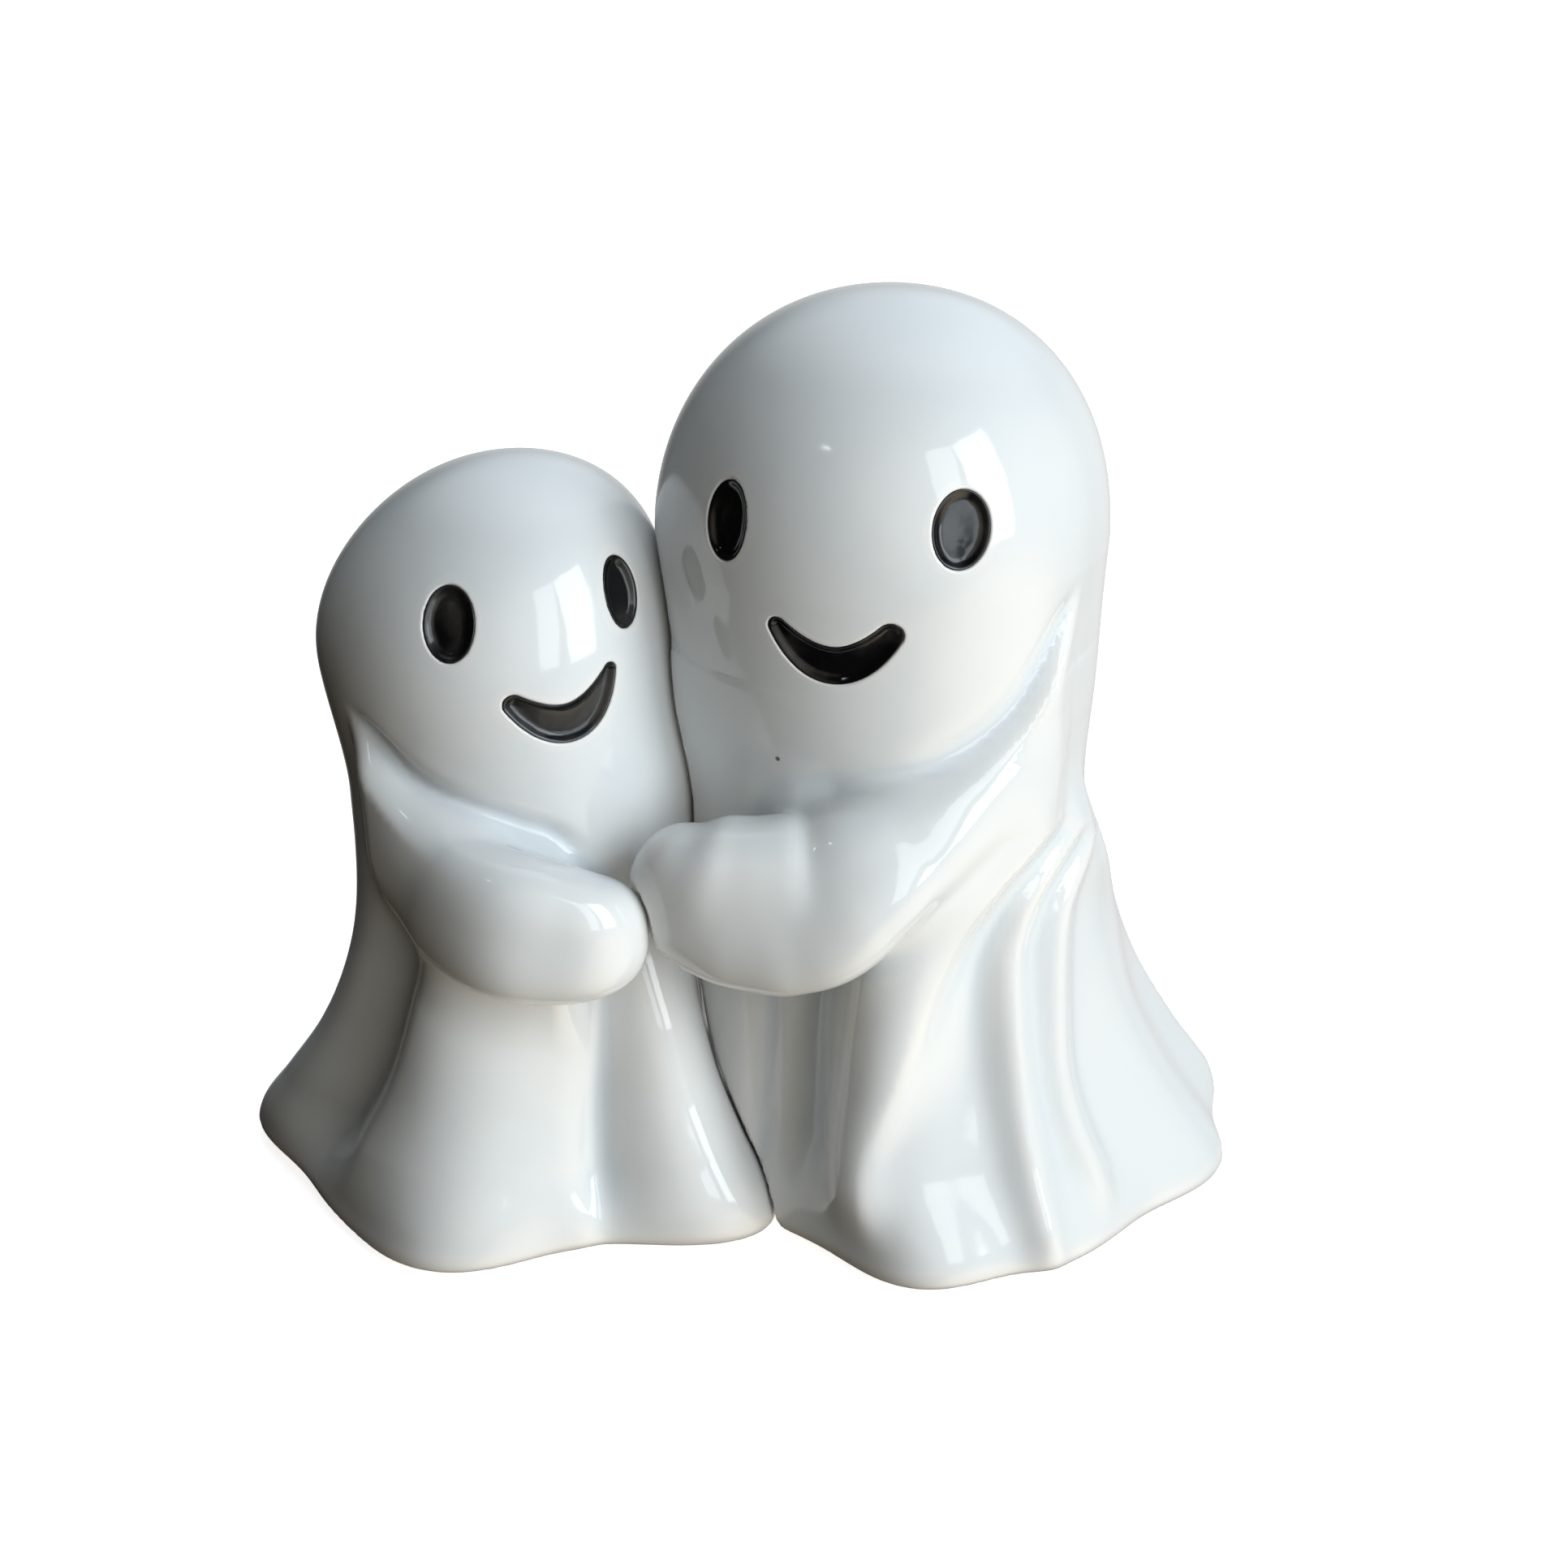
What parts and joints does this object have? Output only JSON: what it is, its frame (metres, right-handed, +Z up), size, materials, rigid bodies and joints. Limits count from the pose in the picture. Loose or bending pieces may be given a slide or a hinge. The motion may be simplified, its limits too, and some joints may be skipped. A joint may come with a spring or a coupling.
{
  "type": "ceramic ghost figure",
  "caption": "Glossy white ceramic ghost pair, a small and a tall sheet ghost hugging, with black smiling faces, draped skirts and soft base stoppers.",
  "frame": {"origin": "middle of the pair's footprint box, on the surface that it stands on", "axes": "+Z up, the faces look toward -Y, the small ghost stands on the -X side"},
  "size_m": [0.1068, 0.0594, 0.0989],
  "materials": {
    "white_glaze": "glossy cool white glaze",
    "black_glaze": "glossy black glaze pooled in the carved face",
    "stopper": "matt translucent white soft plastic"
  },
  "bodies": {
    "tall": {"tall_ghost": "white_glaze", "tall_left_eye": "black_glaze", "tall_right_eye": "black_glaze", "tall_mouth": "black_glaze"},
    "small": {"small_ghost": "white_glaze", "small_left_eye": "black_glaze", "small_right_eye": "black_glaze", "small_mouth": "black_glaze"},
    "tall_plug": {"tall_stopper": "stopper"},
    "small_plug": {"small_stopper": "stopper"}
  },
  "joints": [
    {"name": "pair_apart", "type": "slide", "parent": "tall", "child": "small", "axis": [-1, 0, 0], "range_m": [0, 0.06]},
    {"name": "tall_stopper_pull", "type": "slide", "parent": "tall", "child": "tall_plug", "axis": [0, 0, -1], "range_m": [0, 0.012]},
    {"name": "small_stopper_pull", "type": "slide", "parent": "small", "child": "small_plug", "axis": [0, 0, -1], "range_m": [0, 0.012]}
  ]
}
